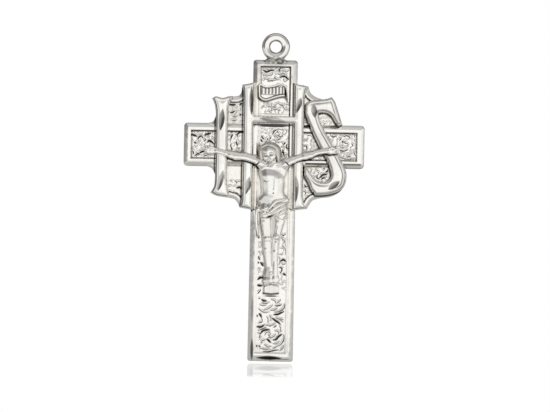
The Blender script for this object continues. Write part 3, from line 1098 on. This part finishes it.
def cross_dirt(x, z):
    f = sunk(x, z)
    # top and right walls of the fields, strongest above the figure
    wall = crevice(x, z, lambda a, b: -sunk(a, b), 0.05)
    wall *= 0.95 * ramp(z, -12.6, -12.0) + 0.25 * ramp(-z, 12.0, 12.6)
    wall *= 1 - 0.7 * ramp(x, 8.4, 8.6)
    open_right = 1 - 0.75 * ramp(-z, 12.5, 13.0) * ramp(x, 1.0, 1.3)
    # the step along the lower edge of the arms
    out = np.abs(x)
    under = ridge(z + 12.26, 0.1, 4) * ramp(out, 3.2, 3.4)
    under *= 0.35 + 0.55 * ramp(x, 3.2, 3.4) + 0.35 * ramp(-out, -5.8, -5.2)
    foot = 0.7 * ridge(z + 12.67, 0.07) * ramp(x, -9.2, -8.9)
    under = np.maximum(under, foot * ramp(out, 6.9, 7.2) * (0.4 + 0.6 * (x > 0)))
    rest = crevice(x, z, partial(signed, p=REST), 0.055)
    # shadowed gap between the legs, the hanging cloth, the dull head and the solder run at its top
    gap = ramp(x, -0.2, -0.05) * ramp(-x, -0.42, -0.3) * ramp(-z, 17.8, 18.0)
    drape = ramp(x, -1.62, -1.5) * ramp(-x, 1.05, 1.2) * ramp(z, -20.4, -18.5)
    top = ramp(z, -4.2, -3.6) * (0.24 + 0.14 * noise2(x, z, 0.35, 51))
    melt = ramp(z, -2.05, -1.75) * ramp(-out, -1.35, -1.0)
    soils = [ramp(f, 0.02, 0.08) * chase(x, z, field_touches)[1], wall, figure_foot(x, z),
             0.95 * open_right * crevice(x, z, letters_print, 0.065),
             under * ramp(-out, -9.3, -9.1), rest * (0.35 + 0.6 * ramp(-z, 25.8, 25.95)),
             0.85 * crevice(x, z, partial(signed, p=TITLE), 0.08),
             0.5 * (gap * ramp(z, -20.2, -19.6)), 0.5 * (drape * ramp(-z, 16.5, 17.5)),
             top * (1 - ramp(f, -0.05, 0.05)), melt * (0.65 + 0.45 * noise2(x, z, 0.3, 52))]
    # dark lenses and dull stretches of the rim, and the corner under the frame's foot
    soils += [level * ramp(lens(x, z, *spot)[0], 0.0, 0.4) for *spot, level in (
        ((-0.12, -32.76), 1.55, 0.26, 0.0, 1.0), ((1.0, -32.88), 1.1, 0.06, 0.0, 0.8),
        ((-0.05, -26.24), 0.9, 0.11, 0.0, 0.95), ((-1.93, -31.9), 1.35, 0.2, UP, 0.85),
        ((-1.96, -27.7), 1.6, 0.17, UP, 0.45), ((-0.15, -8.37), 2.1, 0.11, 0.0, 1.0),
        ((-0.2, -7.08), 2.2, 0.07, 0.0, 0.6), ((1.85, -17.08), 0.34, 0.08, -0.55, 1.0),
        ((-2.0, -17.2), 0.12, 0.1, 0.0, 0.9))]
    return np.maximum.reduce(soils)


def web_height(edge, touches, smooth):
    def height(x, z):
        d = distance(x, z, edge, closed=False)
        h = (PLATE + 0.035) * ramp(d, 0.55, 0.68)
        h += rim_bevel(d, 0.2, 0.52, 0.4) * ramp(-d, -0.66, -0.54)
        tex = chase(x, z, touches)[0] * 0.9 + 0.01 * noise2(x, z, 0.14, 14)
        return h + tex * (1 - ramp(z, *smooth)) * ramp(d, 0.6, 0.75)
    return height


def web_dirt(edge, touches, smooth, dull):
    def dirt(x, z):
        d = distance(x, z, edge, closed=False)
        soil = np.maximum(chase(x, z, touches)[1], dull) * ramp(d, 0.6, 0.75)
        return np.maximum.reduce([soil * (1 - ramp(z, *smooth)), 0.45 * ridge(d - 0.62, 0.06),
                                  0.95 * crevice(x, z, letters_print, 0.075), figure_foot(x, z)])
    return dirt


def letter_height(outline, streaks):
    def height(x, z):
        d = distance(x, z, outline)
        h = PLATE + LETTER_WALL * ramp(d, -0.04, 0.07)
        h += (LETTER - PLATE - LETTER_WALL) * np.sin(np.pi / 2 * np.clip((d - 0.03) / 0.13, 0, 1))
        h -= 0.06 * ramp(d, 0.16, 0.22) + 0.03 * ramp(d, 0.3, 0.36)
        h += 0.05 * (1 - ridge(np.clip(d - 0.3, 0, 9), 0.3))
        for *streak, level in streaks:
            h -= 0.13 * lens(x, z, *streak)[0] * ramp(d, 0.14, 0.26)
        return h + 0.004 * noise2(x, z, 1.1, 19)
    return height


def letter_dirt(outline, streaks, twin):
    # lines of tarnish along the edges; a twin line has a second one at its right
    def dirt(x, z):
        d = distance(x, z, outline)
        left = np.clip((distance(x + 0.05, z + 0.02, outline) - d) / 0.05, -1, 1)
        grain = noise2(1.6 * x, 0.35 * z, 0.3, 71)
        soil = 0.055 + 0.045 * grain + 0.07 * ramp(z, -13.2, -12.0) * ramp(-z, 8.0, 9.2)
        soil *= ramp(d, 0.15, 0.25)
        if twin:
            right = ramp(-left, -0.2, 0.4)
            soil += (0.66 + 0.14 * left) * ridge(d - 0.21, 0.07)
            soil += 0.55 * ramp(left, 0.0, 0.5) * ridge(d, 0.07)
            soil += 0.75 * right * ridge(d - 0.46, 0.07)
        else:
            soil += (0.6 + 0.34 * left) * ridge(d - 0.19, 0.068)
            soil += (0.18 + 0.26 * left) * ridge(d - 0.4, 0.062)
        for *streak, level in streaks:
            q, v = lens(x, z, *streak)
            soil = np.maximum(soil, level * ramp(q, 0.0, 0.22) * (0.85 - 0.25 * v)
                              * ramp(d, 0.1, 0.16))
        return np.maximum(soil, figure_foot(x, z))
    return dirt


bar_streaks = [((-5.56, -7.8), 1.22, 0.36, UP - 0.1, 0.9),
               ((-5.55, -14.2), 1.2, 0.34, UP - 0.25, 0.6)]
frame_streaks = [((-2.46, -5.7), 1.6, 0.26, UP, 0.85),
                 ((-2.68, -14.65), 1.0, 0.34, UP - 0.22, 0.65),
                 ((2.48, -6.15), 0.9, 0.32, UP - 0.3, 0.75),
                 ((2.33, -14.9), 1.55, 0.4, UP, 0.6),
                 ((-0.2, -7.72), 1.5, 0.33, -0.1, 0.55)]
ess_streaks = [((4.12, -6.65), 0.8, 0.34, UP + 0.12, 0.8),
               ((6.35, -14.48), 0.8, 0.36, 0.66, 0.85)]


def cross_fine(x, z):
    # the parts of the sunk fields that nothing covers
    hidden = np.maximum(figure_print(x, z), letters_print(x, z)) > 0.12
    return (sunk(x, z) > -0.12) & ~hidden


def near_edges(*lines):
    return [beside(line, (0.02, 0.09)) for line in lines]


relief("cross", CROSS, cross_height, "cross", m_cross, "cross_body", cross_dirt, step=0.068,
       fine=cross_fine, guides=near_edges(BAR, FRAME, ESS, TITLE) + [along_cuts(field_touches)])

ul_touches = sprigs(-4.75, -3.35, -8.1, -5.9, 0.4, 31, (), 0.0) + touches_of([
    (1, (-4.72, -6.14), (-4.45, -6.2), (-4.18, -6.14)), (1, (-3.68, -6.16), (-3.5, -5.98)),
    (0.8, (-4.66, -7.0), (-4.4, -6.96), (-4.2, -6.84)), (0.9, (-3.66, -7.3), (-3.54, -7.14)),
    (0.6, (-4.4, -7.4), (-4.0, -7.45)), (0.6, (-4.5, -7.85), (-4.1, -7.8))])
ll_touches = sprigs(-4.75, -3.35, -15.9, -14.1, 0.42, 33, (), 0.35)
ur_touches = sprigs(3.2, 6.9, -8.15, -5.9, 0.42, 35, (), 0.2)
lr_touches = sprigs(3.2, 6.2, -16.3, -12.7, 0.42, 37, (), 0.1) + touches_of([
    (1, (4.88, -13.7), (5.15, -13.42), (5.6, -13.3)), (0.8, (5.05, -13.85), (5.4, -13.62)),
    (0.8, (5.28, -12.7), (5.36, -12.78)), (0.7, (5.5, -13.02), (5.7, -12.95))])
NOWHERE = (0, 1)    # above every web
for corner, outline, edge, cuts, lines, smooth, dull in (
        ("upper_left", UL, UL_OUT, ul_touches, (BAR, FRAME), NOWHERE, 0.14),
        ("lower_left", LL, LL_OUT, ll_touches, (BAR, FRAME), (-14.15, -13.95), 0.0),
        ("upper_right", UR, UR_OUT, ur_touches, (FRAME, ESS), NOWHERE, 0.0),
        ("lower_right", LR, LR_OUT, lr_touches, (FRAME, ESS), NOWHERE, 0.0)):
    relief("web_" + corner, outline, web_height(edge, cuts, smooth), "webs", m_web,
           "corner_plate_" + corner, web_dirt(edge, cuts, smooth, dull),
           guides=near_edges(*lines) + [along_cuts(cuts)])

ONE_LINE, TWO_LINES = (0.12, 0.19, 0.26, 0.33, 0.4, 0.47), (0.14, 0.21, 0.28, 0.39, 0.46, 0.53)
for name, outline, streaks, part, step, twin in (
        ("bar_left", BAR, bar_streaks, "monogram_left_bar", 0.04, False),
        ("frame_centre", FRAME, frame_streaks, "monogram_centre_frame", 0.045, False),
        ("scroll_right", ESS, ess_streaks, "monogram_right_scroll", 0.04, True)):
    relief(name, outline, letter_height(outline, streaks), "letters", m_letter, part,
           letter_dirt(outline, streaks, twin), LETTER_BACK, step,
           guides=[beside(outline, TWO_LINES if twin else ONE_LINE, inner=True)])


# ---- titulus ----
def title_height(x, z):
    d = distance(x, z, TITLE)
    h = 0.3 + 0.52 * ramp(d, -0.04, 0.08) + 0.07 * np.sin((x + 0.3) * 2.1)
    h -= 0.12 * ramp(d, 0.18, 0.26)
    fringe = ramp(d, 0.25, 0.32) * ramp(z, -5.12, -5.02) * ramp(-z, 4.2, 4.3)
    ribs = np.abs(np.sin((x + 1.4) * np.pi / 0.36)) ** 0.7
    h += 0.12 * fringe * ribs - 0.15 * lens(x, z, (1.12, -4.95), 0.85, 0.14, UP + 0.07)[0]
    return h


def title_dirt(x, z):
    d = distance(x, z, TITLE)
    soil = 0.75 * ridge(d - 0.24, 0.06) * (1 - 0.4 * ramp(z, -4.7, -4.3))
    soil += 0.6 * ridge(d - 0.02, 0.05) * ramp(-z, 4.6, 5.0)
    fringe = ramp(d, 0.22, 0.3) * ramp(z, -5.15, -5.05) * ramp(-z, 4.18, 4.28)
    soil += 0.75 * fringe * (1 - np.abs(np.sin((x + 1.4) * np.pi / 0.36))) ** 1.5
    return soil + 0.9 * ramp(lens(x, z, (1.12, -4.95), 0.85, 0.12, UP + 0.07)[0], 0, 0.4)


relief("titulus", TITLE, title_height, "titulus", m_title, "titulus_plaque", title_dirt, 0.1,
       0.035)


# ---- eyelet ----
BORE, RING, AROUND = 0.6, 1.48, 120    # radii of the hole and the ring, points round it
half = np.array([(BORE, 0.0), (0.6, -0.16), (0.7, -0.34), (0.92, -0.46), (1.14, -0.5),
                 (1.36, -0.35), (1.478, 0.0)])
prof = spline(np.vstack([half, half[-2::-1] * (1, -1)]), 5)[:-1]
rows = []
for a in np.arange(AROUND) * 2 * math.pi / AROUND:
    uneven = 1 + 0.008 * math.sin(3 * a + 1) + 0.006 * math.sin(7 * a)
    r = np.minimum(BORE + (prof[:, 0] - BORE) * uneven, RING)
    rows.append(np.stack([r * math.cos(a), prof[:, 1], r * math.sin(a)], 1))
n = len(prof)
i, j = np.meshgrid(np.arange(AROUND), np.arange(n), indexing="ij")
i2, j2 = (i + 1) % AROUND, (j + 1) % n
quads = np.stack([i * n + j, i * n + j2, i2 * n + j2, i2 * n + j], -1).reshape(-1, 4)


def ring_dirt(v, n):
    # a dark edge round the hole and a worn groove outside it, most at the upper left and right
    r, a = np.hypot(v[:, 0], v[:, 2]), np.arctan2(v[:, 2], v[:, 0])
    front = ramp(-v[:, 1], -0.05, 0.1)
    hole = ridge(r - 0.68, 0.07) * (0.45 + 0.45 * np.sin(2 * a + 2.4) ** 2)
    groove = 0.45 * ridge(r - 1.2, 0.06) * (0.6 + 0.4 * np.cos(a - 2.6))
    low = 0.5 * ramp(-v[:, 2], 0.75, 1.25) * (1 + noise2(v[:, 0], v[:, 2], 0.2, 54))
    return np.maximum(np.maximum(hole, groove) * front, low * ramp(r, 0.95, 1.1))


make("eyelet_ring", np.vstack(rows), quads, "eyelet", m_ring, ["eyelet"], ring_dirt)

clay = Clay((-1.7, -0.75, -2.3), (1.7, 0.62, -0.55), 0.035)
clay.cone((-0.62, 0.0, -1.42), (0.62, 0.0, -1.42), 0.36, 0.36, 0.1)
clay.cone((-0.35, 0.0, -1.15), (0.35, 0.0, -1.15), 0.34, 0.34, 0.2)
clay.cone((-1.0, -0.25, -1.62), (1.0, -0.25, -1.62), 0.26, 0.26, 0.25)
clay.cone((-0.5, -0.36, -1.72), (0.6, -0.34, -1.76), 0.2, 0.22, 0.2)
clay.egg((0.35, -0.42, -1.45), (0.35, 0.2, 0.25), 0.15)
clay.cone((0, -1.2, 0), (0, 1.2, 0), 0.97, 0.97, 0.06, cut=True)


def solder_dirt(v, n):
    return ramp(v[:, 2], -0.85, -1.5) * (0.6 + 0.4 * noise2(v[:, 0], v[:, 2], 0.25, 53))


make("eyelet_solder", *clay.mesh(), "eyelet", m_ring, ["eyelet_saddle"], solder_dirt)


# ---- footrest and nails ----
def rest_height(x, z):
    d = distance(x, z, REST)
    h = 0.32 + 0.62 * ramp(d, -0.05, 0.1) + 0.1 * np.sin(np.pi / 2 * np.clip(d / 0.2, 0, 1))
    slope = (z + 25.3) * 0.04
    line = 0.06 * ridge(z + 25.14 - 0.12 * np.cos(x * 2.6), 0.05)
    return h + slope * ramp(d, 0, 0.25) - line + 0.008 * noise2(x, z, 0.2, 41)


def rest_dirt(x, z):
    d = distance(x, z, REST)
    line = ridge(z + 24.95 + 0.05 * x, 0.085, 4)
    line *= ramp(x, -0.5, -0.35) * ramp(-x, -0.5, -0.35)
    edge = ridge(d, 0.13) * np.maximum(ramp(-z, 25.75, 25.85), 0.95 * ramp(-x, 0.6, 0.7))
    dull = (0.1 + 0.08 * noise2(x, z, 0.16, 42)) * ramp(d, 0.08, 0.16)
    return np.maximum.reduce([0.85 * line, 0.9 * edge, dull])


relief("footrest", REST, rest_height, "figure", m_cross, "footrest", rest_dirt, 0.1, 0.035)

verts, faces, off = [], [], 0
for x, y, z, r in ((-6.56, -1.42, -10.96, 0.17), (6.4, -1.42, -10.76, 0.17),
                   (-0.05, -1.52, -23.78, 0.19)):
    clay = Clay((x - 0.35, y - 0.3, z - 0.35), (x + 0.35, y + 0.35, z + 0.35), 0.02)
    clay.egg((x, y, z), (r, 0.13, r), 0.03)
    for q in range(6):
        a = q * math.pi / 3 + 0.3
        ex, ez = math.cos(a) * r * 1.25, math.sin(a) * r * 1.25
        clay.egg((x + ex, y - 0.1, z + ez), (r * 0.42, 0.12, r * 0.42), 0.03, cut=True)
    clay.cone((x, y + 0.02, z), (x, y + 0.28, z), 0.07, 0.05, 0.03)
    v, f = clay.mesh()
    verts.append(v)
    faces.append(f + off)
    off += len(v)
make("nail_heads", np.vstack(verts), np.vstack(faces), "nails", m_nail, ["nails"])


# ---- floor ----
paper = bpy.data.materials.new("studio_floor")
paper.use_nodes = True
tree = paper.node_tree
tree.nodes.clear()
add = partial(node, tree)
where = add("NewGeometry").outputs["Position"]
along = add("SeparateXYZ", {0: where})
x, y = along.outputs["X"], along.outputs["Y"]
seen = add("LightPath").outputs["Is Camera Ray"]
glow = math_node(tree, "MAXIMUM", seen, between(tree, y, -0.022, -0.006, 1.0, 0.48))
glow = add("Emission", {"Color": (1, 1, 1, 1), "Strength": glow})
gloss = add("BsdfGlossy", {"Color": (1, 1, 1, 1), "Roughness": 0.03})
# the faint reflection: only near the foot of the shaft, fading towards the front
aside = between(tree, math_node(tree, "ABSOLUTE", x), 0.0028, 0.006, 1.0, 0.0)
near = math_node(tree, "MULTIPLY", aside, between(tree, y, 0.001, 0.006, 1.0, 0.0))
share = math_node(tree, "MULTIPLY", near, between(tree, y, -0.0175, -0.0135, 0.0, 0.34))
mix = add("MixShader", {0: share, 1: glow.outputs[0], 2: gloss.outputs[0]})
add("OutputMaterial", {"Surface": mix.outputs[0]})
HALF_FLOOR, FLOOR_Z, CELLS = 1.6, -0.0333, 24
mesh = bpy.data.meshes.new("floor")
row = np.linspace(-HALF_FLOOR, HALF_FLOOR, CELLS + 1)
x, y = np.meshgrid(row, row)
i, j = np.meshgrid(np.arange(CELLS), np.arange(CELLS), indexing="ij")
a = (i * (CELLS + 1) + j).ravel()
mesh.from_pydata(np.stack([x.ravel(), y.ravel(), np.full(x.size, FLOOR_Z)], 1).tolist(), [],
                 np.stack([a, a + 1, a + CELLS + 2, a + CELLS + 1], 1).tolist())
mesh.materials.append(paper)
place("floor", mesh)

# ---- studio light ----
world = bpy.data.worlds.new("studio")
bpy.context.scene.world = world
world.use_nodes = True
tree = world.node_tree
tree.nodes.clear()
add = partial(node, tree)
toward = add("TexCoord").outputs["Generated"]
axes = add("SeparateXYZ", {0: toward})


def band(axis, first, *rest):
    # light level along one axis of the room: (place from -1 to 1, level)
    shade = add("ValToRGB", {0: between(tree, axes.outputs[axis], -1, 1, kind="LINEAR")})
    stops = shade.color_ramp.elements
    stops.remove(stops[-1])
    stops[0].position = (first[0] + 1) / 2
    stops[0].color = (first[1],) * 3 + (1,)
    for at, level in rest:
        stops.new((at + 1) / 2).color = (level,) * 3 + (1,)
    return shade.outputs[0]


ROOM_LIGHT, DARKEST = 1.12, 0.21
level = math_node(tree, "MULTIPLY",
                  band("Z", (-1, 1.0), (0.14, 1.0), (0.34, 0.58), (0.6, 0.46), (0.85, 0.57),
                       (1, 0.56)),
                  band("X", (-1, 0.22), (-0.62, 0.26), (-0.36, 0.95), (0.3, 1.0), (0.5, 0.72),
                       (0.66, 0.98), (1, 0.9)))
level = math_node(tree, "MULTIPLY", level,
                  band("Y", (-1, 1.0), (0.05, 1.0), (0.34, 0.3), (1, 0.26)))
level = math_node(tree, "MAXIMUM", level, DARKEST)
# a bright disc low behind the pendant, about 20 degrees across
behind = add("VectorMath", {0: toward, 1: Vector((0, 1, 0.09)).normalized()},
             operation="DOT_PRODUCT").outputs["Value"]
rim, core = math.cos(math.radians(11)), math.cos(math.radians(8))
disc = math_node(tree, "SUBTRACT", 1.0, between(tree, behind, rim, core, 1.0, 0.0))
level = math_node(tree, "MAXIMUM", level, disc)
room = add("Background", {"Color": (1, 1, 1, 1),
                          "Strength": math_node(tree, "MULTIPLY", level, ROOM_LIGHT)})
ground = add("Background", {"Color": (1, 1, 1, 1)})
seen = add("LightPath").outputs["Is Camera Ray"]
mix = add("MixShader", {0: seen, 1: room.outputs[0], 2: ground.outputs[0]})
add("OutputWorld", {"Surface": mix.outputs[0]})

# ---- camera ----
data = bpy.data.cameras.new("camera")
data.lens = 120
data.sensor_width = 36
data.clip_start = 0.01
data.clip_end = 10
camera = place("camera", data)
camera.rotation_euler = (math.pi / 2, -math.radians(1.1), 0)
camera.location = (0.00022, -0.1933, -0.01676)
scene = bpy.context.scene
scene.camera = camera
scene.view_settings.view_transform = "Standard"
scene.view_settings.look = "None"
